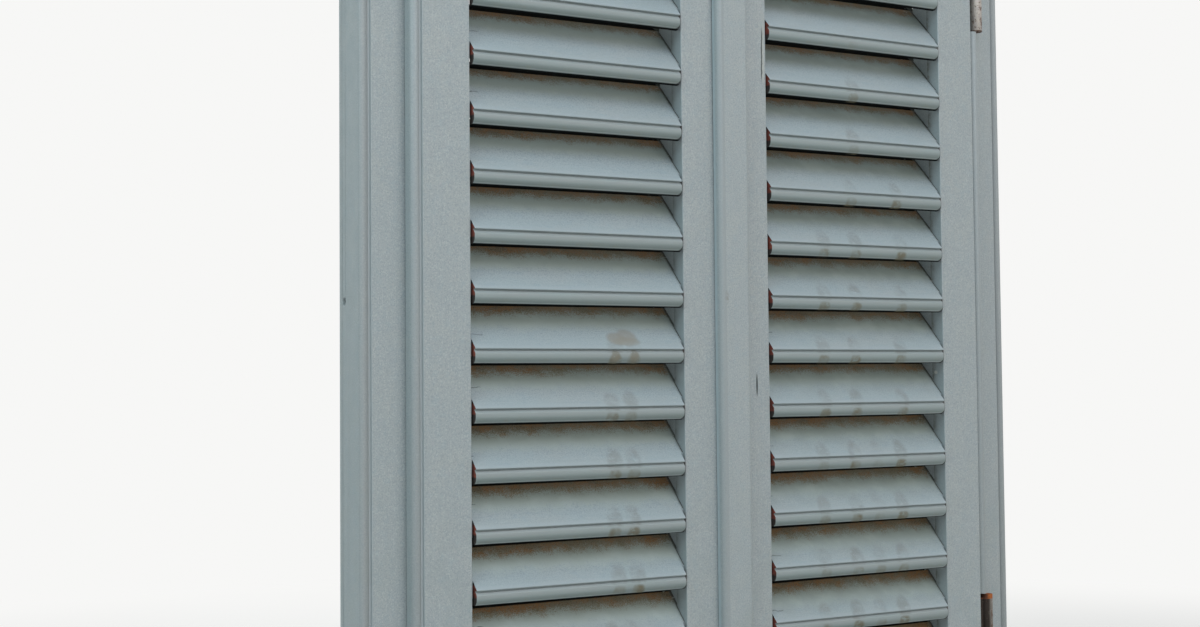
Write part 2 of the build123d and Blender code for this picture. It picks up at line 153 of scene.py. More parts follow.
# Frame: four softwood members, mitred at the corners, each with a bead and a quirk along its outer
# edge. Their pale grey-blue outdoor paint is brushed along the grain, and weather has dulled it.
class Finish:
    """A surface whose colour, roughness and height are built up in layers over its base."""

    def __init__(self, name, colour, roughness, metallic=0.0):
        self.material = bpy.data.materials.new(name)
        self.material.use_nodes = True
        self.tree = self.material.node_tree
        self.shader = self.tree.nodes["Principled BSDF"]
        self.shader.inputs["Metallic"].default_value = metallic
        surface = put(self.tree, "TexCoord").outputs
        self.place = surface["Object"]
        self.x, self.y, self.z = put(self.tree, "SeparateXYZ", Vector=self.place).outputs
        self.facing_x, self.facing_y, self.facing_z = put(
            self.tree, "SeparateXYZ", Vector=surface["Normal"]
        ).outputs
        self.colour = (*colour, 1)
        self.roughness = roughness
        self.height = 0.0

    def maths(self, operation, *values):
        """Work out one value from others."""
        numbered = {f"_{number}": value for number, value in enumerate(values)}
        return put(self.tree, "Math", {"operation": operation}, **numbered).outputs[0]

    def both(self, *shares):
        """Take the part of the surface that all the shares cover."""
        covered = shares[0]
        for share in shares[1:]:
            covered = self.maths("MULTIPLY", covered, share)
        return covered

    def fade(self, value, start, end, strength=1.0):
        """Rise smoothly from 0 where the value is at the start to the strength at the end."""
        return put(
            self.tree, "MapRange", {"interpolation_type": "SMOOTHSTEP"},
            _0=value, _1=start, _2=end, _4=strength,
        ).outputs[0]

    def within(self, value, low, high, edge, strength=1.0):
        """Cover the values from low to high, with soft edges outside them."""
        return self.both(
            self.fade(value, low - edge, low, strength), self.fade(value, high + edge, high)
        )

    def cloud(self, size, low, high, strength=1.0, stretch=(1, 1, 1), shift=0.0, detail=3.0):
        """Patches of about this size, which rise to the strength between two levels of a noise."""
        placed = put(
            self.tree, "Mapping", Vector=self.place,
            Location=(shift, 0.7 * shift, 1.3 * shift),
            Scale=[1 / (size * reach) for reach in stretch],
        )
        noise = put(
            self.tree, "TexNoise",
            Vector=placed.outputs[0], Scale=1.0, Detail=detail, Roughness=0.55,
        )
        return self.fade(noise.outputs[0], low, high, strength)

    def spot(self, across, across_at, width, along, along_at, length, strength=1.0):
        """Cover a soft oval patch, with its half width and its half length."""
        squares = []
        for value, middle, half in ((across, across_at, width), (along, along_at, length)):
            off = self.maths("DIVIDE", self.maths("SUBTRACT", value, middle), half)
            squares.append(self.maths("POWER", off, 2.0))
        return self.fade(self.maths("ADD", *squares), 1.0, 0.25, strength)

    def stain(self, colour, share, roughness=None):
        """Lay a colour over a share of the surface, and a roughness where one is given."""
        self.colour = put(
            self.tree, "Mix", {"data_type": "RGBA"}, _0=share, _6=self.colour, _7=(*colour, 1)
        ).outputs[2]
        if roughness is not None:
            self.roughness = put(
                self.tree, "Mix", _0=share, _2=self.roughness, _3=roughness
            ).outputs[0]

    def raise_by(self, share, height):
        """Raise a share of the surface by a height, or sink it where that is below zero."""
        self.height = self.maths("MULTIPLY_ADD", share, height, self.height)

    def lay_on(self, *names):
        """Join the layers to the shader, and give the finish to these parts."""
        for socket, value in (("Base Color", self.colour), ("Roughness", self.roughness)):
            if isinstance(value, bpy.types.NodeSocket):
                self.tree.links.new(value, self.shader.inputs[socket])
            else:
                self.shader.inputs[socket].default_value = value
        if isinstance(self.height, bpy.types.NodeSocket):
            relief = put(self.tree, "Bump", Strength=1.0, Distance=1.0, Height=self.height)
            self.tree.links.new(relief.outputs[0], self.shader.inputs["Normal"])
        for name in names:
            nodes[name].data.materials.clear()
            nodes[name].data.materials.append(self.material)


def ease_edges(names, width):
    """Round a part's arrises a little, as sanding and paint leave them."""
    for name in names:
        weld = nodes[name].modifiers.new("weld", "WELD")
        weld.merge_threshold = 0.00001
        ease = nodes[name].modifiers.new("ease", "BEVEL")
        ease.width = width
        ease.segments = 2
        ease.limit_method = "ANGLE"
        ease.angle_limit = 0.6
        ease.harden_normals = True
        ease.use_clamp_overlap = False


wood_easing = 0.0005
streak_relief = 0.00003
coat_relief = 0.00004
paint_grey = (0.300, 0.334, 0.341)
warm_grey = (0.322, 0.348, 0.342)
cold_grey = (0.270, 0.328, 0.350)
lilac_grey = (0.335, 0.338, 0.354)
deep_grey = (0.205, 0.240, 0.250)
chalk_grey = (0.410, 0.445, 0.445)
streak_grey = (0.255, 0.300, 0.312)
pale_streak_grey = (0.375, 0.415, 0.420)
speck_grey = (0.16, 0.18, 0.17)
low_green_grey = (0.235, 0.275, 0.258)


def paint_coat(name, grain, shift):
    """Pale grey-blue outdoor paint, brushed along the grain and dulled by weather."""
    coat = Finish(name, paint_grey, 0.5)
    brushed = [1, 1, 1]
    brushed["XYZ".index(grain)] = 40
    for shade, size, low, high, strength, moved, detail in (
        (warm_grey, 0.030, 0.42, 0.66, 0.55, 0, 3),
        (cold_grey, 0.008, 0.50, 0.72, 0.45, 3, 3),
        (lilac_grey, 0.004, 0.54, 0.74, 0.40, 7, 3),
        (deep_grey, 0.0013, 0.48, 0.66, 0.50, 9, 1),
        (chalk_grey, 0.0014, 0.54, 0.70, 0.50, 10, 1),
    ):
        patches = coat.cloud(size, low, high, strength, shift=shift + moved, detail=detail)
        coat.stain(shade, patches)
    streaks = coat.cloud(0.0012, 0.35, 0.75, stretch=brushed, shift=shift + 11)
    coat.stain(streak_grey, coat.both(streaks, 0.28))
    coat.stain(pale_streak_grey, coat.cloud(0.0015, 0.62, 0.74, 0.35, brushed, shift + 15))
    coat.stain(speck_grey, coat.cloud(0.0011, 0.72, 0.80, 0.5, shift=shift + 19))
    worn = coat.cloud(0.02, 0.3, 0.7, shift=shift + 23)
    coat.roughness = put(coat.tree, "MapRange", _0=worn, _3=0.44, _4=0.58).outputs[0]
    coat.raise_by(streaks, streak_relief)
    coat.raise_by(coat.cloud(0.0025, 0.3, 0.7, shift=shift + 27), coat_relief)
    return coat


def greener_towards_sill(coat, shift):
    """A patchy, greener and darker tone that grows towards the sill."""
    low_down = coat.fade(coat.z, 0.60, 0.02, 0.5)
    coat.stain(low_green_grey, coat.both(low_down, coat.cloud(0.03, 0.35, 0.70, shift=shift)), 0.65)


def front_face(coat, front_y):
    """Cover what lies less than about 4 mm behind a front face."""
    return coat.fade(coat.y, front_y + 0.0045, front_y + 0.0035)


frame_low, frame_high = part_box("jamb_right")
quirk_near = 0.0100
quirk_far = 0.0120
quirk_edge = 0.0004
# Bead and quirk: a darker painted shade on the bead, and a paler painted light in the quirk.
frame_bead_shade = (0.255, 0.270, 0.270)
frame_quirk_light = (0.40, 0.44, 0.45)
back_grey = (0.28, 0.31, 0.30)
mitre_grey = (0.10, 0.11, 0.10)
for member, grain, shift in (
    ("jamb_right", "Z", 1), ("jamb_left", "Z", 31), ("head", "X", 61), ("sill", "X", 91)
):
    coat = paint_coat(f"{member}_paint", grain, shift)
    from_side = coat.maths("SUBTRACT", frame_high.x, coat.maths("ABSOLUTE", coat.x))
    from_end = coat.maths("MINIMUM", coat.z, coat.maths("SUBTRACT", frame_high.z, coat.z))
    from_edge = coat.maths("MINIMUM", from_side, from_end)
    front = front_face(coat, frame_low.y)
    shaded_bead = coat.both(front, coat.fade(from_edge, quirk_near, quirk_near - 0.0006, 0.5))
    lit_quirk = coat.both(front, coat.within(from_edge, quirk_near, quirk_far, quirk_edge))
    # Painted shade tones down the bead's highlight, and painted light eases the quirk's shadow.
    coat.stain(frame_bead_shade, shaded_bead)
    coat.stain(frame_quirk_light, coat.both(lit_quirk, 0.9), 0.8)
    greener_towards_sill(coat, shift + 41)
    at_back = coat.fade(coat.y, frame_high.y - 0.02, frame_high.y)
    coat.stain(back_grey, coat.both(at_back, coat.cloud(0.02, 0.40, 0.65, 0.4)))
    off_mitre = coat.maths("ABSOLUTE", coat.maths("SUBTRACT", from_side, from_end))
    mitre = coat.both(coat.fade(off_mitre, 0.0011, 0.0003, 0.75), coat.cloud(0.01, 0.35, 0.5))
    coat.stain(mitre_grey, mitre, 0.8)
    ease_edges([member], wood_easing)
    coat.lay_on(member)

# Leaves: softwood stiles with mortised and tenoned rails, painted with the frame. Grime and painted
# shade darken the stiles' inner faces between the slats, and one stile has split beside them.
leaf_low, leaf_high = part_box("right_hinge_stile")
slat_low, slat_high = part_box("right_slat_01")
slat_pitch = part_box("right_slat_02")[0].z - slat_low.z
inner_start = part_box("right_meeting_stile")[1].x
inner_end = leaf_low.x
arris_y = slat_low.y
first_arris_z = slat_high.z - (slat_high.y - slat_low.y)


def slat_place(finish):
    """Find a point's depth behind a slat's arris, its height above it, and the slat's number."""
    depth = finish.maths("SUBTRACT", finish.y, arris_y)
    row_foot_z = first_arris_z - slat_pitch / 2
    climbed = finish.maths("SUBTRACT", finish.maths("SUBTRACT", finish.z, depth), row_foot_z)
    row = finish.maths("FLOOR", finish.maths("DIVIDE", climbed, slat_pitch))
    arris_z = finish.maths("MULTIPLY_ADD", row, slat_pitch, first_arris_z)
    return depth, finish.maths("SUBTRACT", finish.z, arris_z), row


def right_leaf(finish):
    """Cover the right leaf, and leave out the left one."""
    return finish.fade(finish.x, -0.01, 0.01)


sideways_cool_light = (0.29, 0.345, 0.36)
deep_grime_and_shade = (0.105, 0.100, 0.075)
brown_grime_and_shade = (0.075, 0.050, 0.030)
wedge_shade_and_grime = (0.090, 0.060, 0.045)


def leaf_coat(name, grain, shift):
    """The leaves' paint, with grime, painted shade and painted cool light round the slats' ends."""
    coat = paint_coat(name, grain, shift)
    depth, above, _ = slat_place(coat)
    across = coat.maths("ABSOLUTE", coat.x)
    opening = coat.both(
        coat.within(across, inner_start - 0.0004, inner_end + 0.0004, 0.0002),
        coat.fade(coat.maths("ABSOLUTE", coat.facing_x), 0.5, 0.8),
    )
    # A bluer tint on the faces turned across the opening: a painted cool light from the side.
    coat.stain(sideways_cool_light, coat.both(opening, 0.5))
    # Darker more than about 14 to 30 mm behind the arris: grime, with painted shade where the slats
    # overhang the stiles, browner on the right leaf.
    deep_between_slats = coat.both(opening, coat.fade(depth, 0.014, 0.030))
    deep_unevenness = coat.maths("MULTIPLY_ADD", coat.cloud(0.008, 0.35, 0.62, shift=shift + 5), 0.4, 0.55)
    coat.stain(deep_grime_and_shade, coat.both(deep_between_slats, deep_unevenness), 0.75)
    brown = coat.cloud(0.006, 0.45, 0.6, 0.7, shift=shift + 9)
    coat.stain(brown_grime_and_shade, coat.both(deep_between_slats, right_leaf(coat), brown), 0.8)
    # A dark red-brown wedge under each slat's lip, behind the nose's end: painted shade of the deep
    # gap there, with grime in it.
    wedge = coat.both(
        opening,
        coat.within(depth, 0.0030, 0.0085, 0.002),
        coat.within(above, -0.0060, -0.0005, 0.002),
    )
    rough_wedge = coat.cloud(0.003, 0.30, 0.6, 0.7, shift=shift + 13)
    coat.stain(wedge_shade_and_grime, coat.both(wedge, rough_wedge), 0.85)
    greener_towards_sill(coat, shift + 41)
    return coat


split_foot_x = 0.0364
split_lean = 0.0156
split_bottom = 0.898
split_top = 0.940
split_fade = 0.012
scratch_x = 0.0388
scratch_z = 0.552
curl_y = -0.030
curl_z = 0.565
split_black = (0.075, 0.085, 0.075)
split_lip_grey = (0.40, 0.42, 0.39)
scratch_black = (0.040, 0.050, 0.052)
curl_white = (0.50, 0.50, 0.45)


def mark_right_stiles(stile):
    """A split by the meeting stile's arris, a scratch lower down, and a pale curl of paint."""
    front = stile.fade(stile.facing_y, -0.4, -0.7)
    wander = stile.maths("MULTIPLY_ADD", stile.cloud(0.006, 0.2, 0.8, shift=3), 0.0010, -0.0005)
    along_split = stile.maths("MULTIPLY_ADD", stile.z, split_lean, split_foot_x)
    off_split = stile.maths("SUBTRACT", stile.x, stile.maths("ADD", along_split, wander))
    lip = stile.both(
        front,
        stile.within(stile.z, split_bottom - 0.004, split_top + 0.006, split_fade),
        stile.within(off_split, 0.0012, 0.0026, 0.0006, 0.7),
    )
    split = stile.both(
        front,
        stile.within(stile.z, split_bottom, split_top, split_fade),
        stile.fade(stile.maths("ABSOLUTE", off_split), 0.0011, 0.0003, 0.92),
    )
    stile.stain(split_lip_grey, lip)
    stile.stain(split_black, split, 0.9)
    stile.raise_by(split, -0.0006)
    scratch = stile.spot(stile.x, scratch_x, 0.0014, stile.z, scratch_z, 0.0150)
    stile.stain(scratch_black, stile.both(front, scratch), 0.8)
    curl = stile.spot(stile.y, curl_y, 0.0035, stile.z, curl_z, 0.0025, 0.8)
    on_hinge_stile = stile.fade(stile.x, 0.30, 0.305)
    stile.stain(curl_white, stile.both(curl, on_hinge_stile))


# Painted shade on each leaf's bead, and paler painted light in its quirk, paler on the right.
leaf_bead_shade = (0.250, 0.275, 0.280)
quirk_inner_x = leaf_high.x - quirk_far
quirk_outer_x = leaf_high.x - quirk_near
for side, shift, quirk_light in (
    ("right", 121, (0.42, 0.46, 0.47)), ("left", 201, (0.38, 0.42, 0.43))
):
    stile = leaf_coat(f"{side}_stile_paint", "Z", shift)
    across = stile.maths("ABSOLUTE", stile.x)
    front = front_face(stile, leaf_low.y)
    on_bead = stile.fade(across, quirk_outer_x + 0.0008, quirk_outer_x + 0.0018, 0.5)
    shaded_bead = stile.both(front, on_bead)
    lit_quirk = stile.both(front, stile.within(across, quirk_inner_x, quirk_outer_x, quirk_edge))
    # Painted shade over the bead's highlight, and painted light that eases the quirk's shadow.
    stile.stain(leaf_bead_shade, shaded_bead)
    stile.stain(quirk_light, stile.both(lit_quirk, 0.9), 0.8)
    if side == "right":
        mark_right_stiles(stile)
    rail = leaf_coat(f"{side}_rail_paint", "X", shift + 51)
    for coat, parts in (
        (stile, ("hinge_stile", "meeting_stile")), (rail, ("top_rail", "bottom_rail"))
    ):
        names = [f"{side}_{part}" for part in parts]
        ease_edges(names, wood_easing)
        coat.lay_on(*names)

# Slats: fifteen softwood boards a leaf, housed in the stiles at 45 degrees, each with a lip, a fine
# groove and a drip nose. Their noses are cut short of the stiles and show bare wood, and their tops
# hold dirt that has run down from behind the slat above.
nose_back = 0.0096
nose_foot = -0.0150
slat_grey = (0.308, 0.366, 0.384)
slats = Finish("slat_paint", slat_grey, 0.5)
depth, above, row = slat_place(slats)
right = right_leaf(slats)
left = slats.maths("SUBTRACT", 1.0, right)
opening_width = inner_end - inner_start
from_start = slats.maths(
    "ADD", slats.x, slats.maths("MULTIPLY_ADD", right, -inner_start - inner_end, inner_end)
)
from_left = slats.maths("DIVIDE", from_start, opening_width)
board = put(slats.tree, "CombineXYZ", X=row, Y=slats.maths("ROUND", right))
chance = put(slats.tree, "TexWhiteNoise", {"noise_dimensions": "2D"}, Vector=board.outputs[0])
chance_a, chance_b, chance_c = put(
    slats.tree, "SeparateXYZ", Vector=chance.outputs["Color"]
).outputs
sideways = slats.maths("ABSOLUTE", slats.facing_x)
top = slats.fade(slats.facing_z, 0.45, 0.60)
nose = slats.both(
    slats.fade(depth, nose_back + 0.0003, nose_back),
    slats.fade(above, 0.0002, -0.0006),
    slats.fade(sideways, 0.6, 0.4),
)
cut_end = slats.both(
    slats.fade(depth, nose_back + 0.0008, nose_back + 0.0002), slats.fade(sideways, 0.5, 0.7)
)

# Paint on the whole board: patches, brush streaks and specks along the grain
slat_warm_grey = (0.328, 0.362, 0.366)
slat_cold_grey = (0.272, 0.340, 0.372)
slat_streak_grey = (0.255, 0.305, 0.320)
slats.stain(slat_warm_grey, slats.cloud(0.045, 0.42, 0.66, 0.6, (2, 1, 1), 301))
slats.stain(slat_cold_grey, slats.cloud(0.008, 0.50, 0.72, 0.5, (2, 1, 1), 303))
streaks = slats.cloud(0.0011, 0.35, 0.75, stretch=(40, 1, 1), shift=311)
slats.stain(slat_streak_grey, slats.both(streaks, 0.30))
slats.stain(speck_grey, slats.cloud(0.0011, 0.72, 0.80, 0.5, shift=319))
slats.raise_by(streaks, streak_relief)
slats.raise_by(slats.cloud(0.0025, 0.3, 0.7, shift=327), coat_relief)

# Tops: grey-green film, more of it low down, brown dirt, then black painted shade to the slat above
shade_start = 0.0352
shade_per_row = 0.0014
shade_to_right = 0.0010
dark_speck_grey = (0.205, 0.245, 0.252)
pale_speck_grey = (0.385, 0.440, 0.450)
film_and_painted_light = (0.385, 0.448, 0.425)
low_film_green = (0.205, 0.235, 0.200)
right_film_green = (0.215, 0.258, 0.245)
olive_dirt = (0.200, 0.172, 0.098)
top_brown = (0.205, 0.140, 0.070)
brown_grain = (0.085, 0.060, 0.036)
rust_run = (0.300, 0.135, 0.042)
top_shade_black = (0.005, 0.006, 0.006)
pale_arris = (0.340, 0.395, 0.415)
# Where the black painted shade begins on each top, deeper on higher rows and towards the right.
shade_from = slats.maths(
    "MULTIPLY_ADD", from_left, shade_to_right,
    slats.maths("MULTIPLY_ADD", row, shade_per_row, shade_start),
)
reach = slats.maths("SUBTRACT", depth, shade_from)
ragged = reach
for runs, length in (
    (slats.cloud(0.016, 0.25, 0.75, stretch=(1, 1.5, 1.5), shift=337), 0.0042),
    (slats.cloud(0.0040, 0.25, 0.75, shift=339), 0.0020),
    (slats.cloud(0.0010, 0.30, 0.70, shift=331, detail=1), 0.0055),
):
    ragged = slats.maths("MULTIPLY_ADD", runs, length, ragged)
speckle = slats.cloud(0.0013, 0.48, 0.66, shift=329, detail=1)
pale_speckle = slats.cloud(0.0012, 0.58, 0.70, 0.5, shift=333, detail=1)
slats.stain(dark_speck_grey, slats.both(top, speckle, slats.fade(depth, -0.01, 0.03, 0.80)))
slats.stain(pale_speck_grey, slats.both(top, pale_speckle))
# The grey-green film is paler than the paint: partly a film, partly painted light that lifts the
# shaded middle of the tops.
slats.stain(film_and_painted_light, slats.both(top, slats.fade(ragged, -0.022, -0.010, 0.90)), 0.6)
low_down = slats.fade(row, 12.0, 1.0)
for shade, where, film_from, film_to, strength, shift in (
    (low_film_green, low_down, -0.026, -0.006, 0.30, 341),
    (right_film_green, right, -0.034, -0.012, 0.42, 343),
):
    patchy = slats.cloud(0.03, 0.25, 0.6, strength, shift=shift)
    film = slats.both(top, where, slats.fade(ragged, film_from, film_to), patchy)
    slats.stain(shade, film, 0.6)
slats.stain(olive_dirt, slats.both(top, slats.fade(ragged, -0.0060, 0.0055, 0.85)), 0.75)
towards_ends = slats.maths(
    "MAXIMUM", slats.fade(from_left, 0.60, 0.30), slats.fade(from_left, 0.80, 0.90)
)
some_brown = slats.cloud(0.030, 0.38, 0.60, 0.8, shift=345)
brown_where = slats.maths("MAXIMUM", slats.maths("MAXIMUM", towards_ends, some_brown), 0.65)
brown = slats.both(top, brown_where, slats.fade(ragged, -0.0065, 0.0060))
slats.stain(top_brown, slats.both(brown, 0.90), 0.75)
dark_grains = slats.cloud(0.0012, 0.46, 0.62, 0.75, shift=347, detail=1)
slats.stain(brown_grain, slats.both(brown, dark_grains), 0.8)
rusty = slats.both(
    brown, slats.cloud(0.012, 0.42, 0.56, 0.85, (2, 1, 1), 351),
    slats.cloud(0.0014, 0.34, 0.56, shift=352, detail=1),
)
slats.stain(rust_run, rusty, 0.8)
# Black painted shade deep on the tops, where the slat above hides them.
shaded_top = slats.both(top, slats.fade(reach, 0.0, 0.0010, 0.98))
slats.stain(top_shade_black, shaded_top, 0.95)
slats.stain(pale_arris, slats.both(top, slats.fade(depth, 0.0040, 0.0008, 0.5)))

# Ends of the tops: fine cracks from the left, dirt and painted shadow in the corners, pale chips at
# the right
crack_grey = (0.10, 0.12, 0.12)
corner_grey = (0.16, 0.17, 0.15)
corner_shadow_black = (0.06, 0.06, 0.05)
chip_white = (0.46, 0.48, 0.45)
crack_rise = slats.maths("MULTIPLY_ADD", chance_b, 0.014, 0.009)
crack_bend = slats.cloud(0.008, 0.2, 0.8, shift=353)
crack_line = slats.maths("MULTIPLY_ADD", crack_bend, 0.0016, crack_rise)
crack_reach = slats.maths("MULTIPLY_ADD", chance_c, 0.07, 0.02)
off_crack = slats.maths("ABSOLUTE", slats.maths("SUBTRACT", depth, crack_line))
crack = slats.both(
    top,
    slats.fade(off_crack, 0.0006, 0.0002),
    slats.fade(slats.maths("SUBTRACT", from_left, crack_reach), 0.004, -0.004),
    slats.fade(chance_a, 0.35, 0.45),
)
slats.stain(crack_grey, slats.both(crack, 0.75), 0.85)
slats.raise_by(crack, -0.0003)
from_end = slats.maths("MINIMUM", from_left, slats.maths("SUBTRACT", 1.0, from_left))
corner_dirt = slats.both(
    top, slats.fade(from_end, 0.014, 0.003), slats.cloud(0.004, 0.25, 0.6, 0.5, shift=357)
)
slats.stain(corner_grey, corner_dirt, 0.8)
# A black painted shadow line where each top meets the stile.
slats.stain(corner_shadow_black, slats.both(top, slats.fade(from_end, 0.0045, 0.0020, 0.7)), 0.85)
chips = slats.cloud(0.0022, 0.64, 0.70, 0.6, (3, 1, 1), 361)
slats.stain(chip_white, slats.both(top, slats.fade(from_left, 0.90, 0.96), chips))

# Noses: paint that half fills the groove, painted warm light above, and a greener, darker lower
# part
groove_low = -0.0019
groove_high = -0.0001
groove_grey = (0.24, 0.28, 0.285)
nose_speck_grey = (0.245, 0.280, 0.285)
nose_grey = (0.255, 0.300, 0.297)
nose_warm_light = (0.285, 0.300, 0.298)
nose_green = (0.150, 0.188, 0.182)
nose_olive = (0.190, 0.205, 0.175)
nose_foot_grey = (0.30, 0.34, 0.34)
groove = slats.both(
    slats.within(above, groove_low, groove_high, 0.0003),
    slats.within(depth, -0.001, 0.0040, 0.0003),
)
slats.stain(groove_grey, groove, 0.85)
slats.stain(nose_speck_grey, slats.both(nose, speckle, slats.fade(above, -0.0030, -0.0040, 0.5)))
slats.stain(nose_grey, slats.both(nose, slats.fade(above, -0.0026, -0.0040, 0.80)))
# A painted warm light on the upper part of each nose.
upper = slats.both(
    nose, slats.within(above, -0.0085, -0.0028, 0.0012),
    slats.cloud(0.02, 0.30, 0.60, 0.85, (3, 1, 1), 365),
)
slats.stain(nose_warm_light, slats.both(upper, 0.5))
slats.stain(nose_green, slats.both(nose, slats.fade(above, -0.0046, -0.0125, 0.85)), 0.6)
lower = slats.both(
    nose, slats.fade(above, -0.0085, -0.0135), slats.cloud(0.005, 0.50, 0.70, 0.40, (2, 1, 1), 371)
)
slats.stain(nose_olive, lower, 0.7)
foot_line = slats.within(above, nose_foot + 0.0003, nose_foot + 0.0009, 0.0004, 0.6)
slats.stain(nose_foot_grey, slats.both(nose, foot_line))

# Painted shade: outside the rounded lower corner of each nose's right end, and on the foot behind
# the nose. There, and in the black painted shade on the tops, the paint's gloss is taken away.
corner_from = opening_width - 0.0088
corner_top = -0.0095
corner_radius = 0.0052
corner_softness = 0.0008
nose_corner_shade = (0.030, 0.035, 0.035)
nose_foot_shade = (0.006, 0.007, 0.007)
past_corner = slats.maths(
    "MAXIMUM", slats.maths("MULTIPLY_ADD", from_left, opening_width, -corner_from), 0.0
)
below_corner = slats.maths("MAXIMUM", slats.maths("SUBTRACT", corner_top, above), 0.0)
off_corner = slats.maths(
    "ADD", slats.maths("POWER", past_corner, 2.0), slats.maths("POWER", below_corner, 2.0)
)
outside = slats.fade(
    off_corner, corner_radius ** 2, (corner_radius + corner_softness) ** 2, 0.95
)
slats.stain(nose_corner_shade, slats.both(nose, outside), 0.85)
shaded_foot = slats.both(
    slats.fade(depth, nose_back + 0.0016, nose_back + 0.0003),
    slats.fade(above, nose_foot, nose_foot - 0.0006, 0.98),
)
slats.stain(nose_foot_shade, shaded_foot, 0.95)
# Less gloss in the painted shade, so that it stays black.
gloss = slats.maths("MULTIPLY_ADD", slats.maths("MAXIMUM", shaded_top, shaded_foot), -0.5, 0.5)
slats.tree.links.new(gloss, slats.shader.inputs["Specular IOR Level"])

# Smudges, one under another from row to row, where drips have run over the arris and down the nose
smudge_brown = (0.120, 0.108, 0.070)
smudge_lean = -1.2
smudge_above = -0.0130
smudge_width, smudge_height = 0.036, 0.0110
run_depth = 0.0030
run_width, run_length = 0.045, 0.0150
outward = slats.both(nose, slats.fade(slats.facing_y, 0.1, -0.1))
marked = slats.maths("ADD", from_left, slats.maths("MULTIPLY_ADD", chance_a, 0.036, -0.018))
leaning = slats.maths("MULTIPLY_ADD", depth, smudge_lean, marked)
for where, leaf, strength, highest in (
    (0.290, right, 0.75, 8.3), (0.470, right, 0.95, 11.3), (0.735, right, 0.90, 9.3),
    (0.600, right, 0.45, 4.3), (0.650, left, 0.90, 6.3), (0.740, left, 0.95, 6.3),
):
    shift = 380 + 10 * where
    unevenly = slats.maths("ADD", row, slats.maths("MULTIPLY", chance_b, 0.8))
    low_enough = slats.fade(unevenly, highest + 1.0, highest)
    how_strong = slats.maths(
        "MULTIPLY_ADD", slats.cloud(0.025, 0.38, 0.60, shift=shift), 0.70, 0.30
    )
    blot = slats.cloud(0.0050, 0.25, 0.50, strength, (1.5, 1, 1), shift + 5)
    on_nose = slats.both(
        outward, slats.fade(above, -0.0045, -0.0090),
        slats.spot(marked, where, smudge_width, above, smudge_above, smudge_height),
    )
    run = slats.spot(leaning, where, run_width, depth, run_depth, run_length, 0.32)
    smudge = slats.maths("MAXIMUM", on_nose, slats.both(top, run))
    slats.stain(smudge_brown, slats.both(smudge, leaf, low_enough, blot, how_strong), 0.75)

# One large pale brown patch on the left leaf, with two spots on the nose under it
under_patch_z = 0.583
under_patch_width, under_patch_height = 0.0065, 0.0090
patch_brown = (0.240, 0.233, 0.200)
under_patch_brown = (0.165, 0.155, 0.120)
for lobe_x, lobe_z, lobe_width, lobe_height in (
    (-0.137, 0.602, 0.014, 0.008), (-0.123, 0.605, 0.014, 0.009), (-0.126, 0.599, 0.019, 0.006)
):
    lobe = slats.spot(slats.x, lobe_x, lobe_width, slats.z, lobe_z, lobe_height, 0.70)
    patch = slats.both(top, left, lobe, slats.cloud(0.006, 0.10, 0.36, shift=461))
    slats.stain(patch_brown, patch, 0.7)
for spot_x in (-0.1435, -0.1205):
    spot = slats.spot(
        slats.x, spot_x, under_patch_width, slats.z, under_patch_z, under_patch_height, 0.75
    )
    under_patch = slats.both(outward, spot, slats.cloud(0.003, 0.25, 0.45, shift=463))
    slats.stain(under_patch_brown, under_patch, 0.7)

# Cut ends of the noses: bare end grain, stained red-brown above and nearly black below
slat_easing = 0.0004
end_black = (0.026, 0.020, 0.017)
end_red = (0.190, 0.040, 0.025)
end_bright_red = (0.330, 0.075, 0.045)
end_grain = slats.cloud(0.0011, 0.30, 0.70, stretch=(1, 1, 5), shift=401)
slats.stain(end_black, cut_end, 0.85)
lowest_red = slats.maths("MULTIPLY_ADD", chance_b, 0.004, -0.0105)
red_wood = slats.both(
    cut_end,
    slats.fade(slats.maths("SUBTRACT", above, lowest_red), 0.0, 0.0025),
    slats.fade(above, 0.0060, 0.0030),
)
mostly = slats.cloud(0.005, 0.20, 0.50, 0.9, shift=405)
in_places = slats.cloud(0.005, 0.45, 0.65, 0.8, shift=409)
slats.stain(end_red, slats.both(red_wood, mostly), 0.85)
slats.stain(end_bright_red, slats.both(red_wood, end_grain, in_places), 0.85)
slats.raise_by(slats.both(cut_end, end_grain), -0.0002)
worn = slats.cloud(0.02, 0.3, 0.7, 0.25, shift=413)
slats.roughness = put(slats.tree, "Mix", _0=worn, _2=slats.roughness, _3=0.62).outputs[0]
slat_names = [name for name in nodes if "_slat_" in name]
ease_edges(slat_names, slat_easing)
slats.lay_on(*slat_names)

# Cover strip: a round-edged softwood strip, fixed to the right leaf and lapping over the left one,
# painted with the leaves. Its left flank has a painted cool light, and a painted shadow along its
# back.
strip_low, strip_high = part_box("cover_strip")
strip_easing = 0.0004
rubbed_x = -0.0080
rubbed_z = 0.647
flank_front_y = strip_high.y - 0.0075
rubbed_grey = (0.20, 0.20, 0.18)
flank_cool_light = (0.36, 0.43, 0.455)
joint_shadow_black = (0.045, 0.070, 0.080)
rounding_grey = (0.240, 0.270, 0.275)
strip = paint_coat("strip_paint", "Z", 501)
greener_towards_sill(strip, 0)
rubbed = strip.both(
    strip.spot(strip.x, rubbed_x, 0.0032, strip.z, rubbed_z, 0.0085, 0.6),
    strip.cloud(0.004, 0.30, 0.60, shift=505),
)
strip.stain(rubbed_grey, rubbed)
left_half = strip.fade(strip.x, 0.0, -0.012)
# A paler, bluer painted cool light on the left flank.
lit_flank = strip.both(left_half, strip.fade(strip.y, flank_front_y, flank_front_y + 0.0045))
strip.stain(flank_cool_light, strip.both(lit_flank, 0.8))
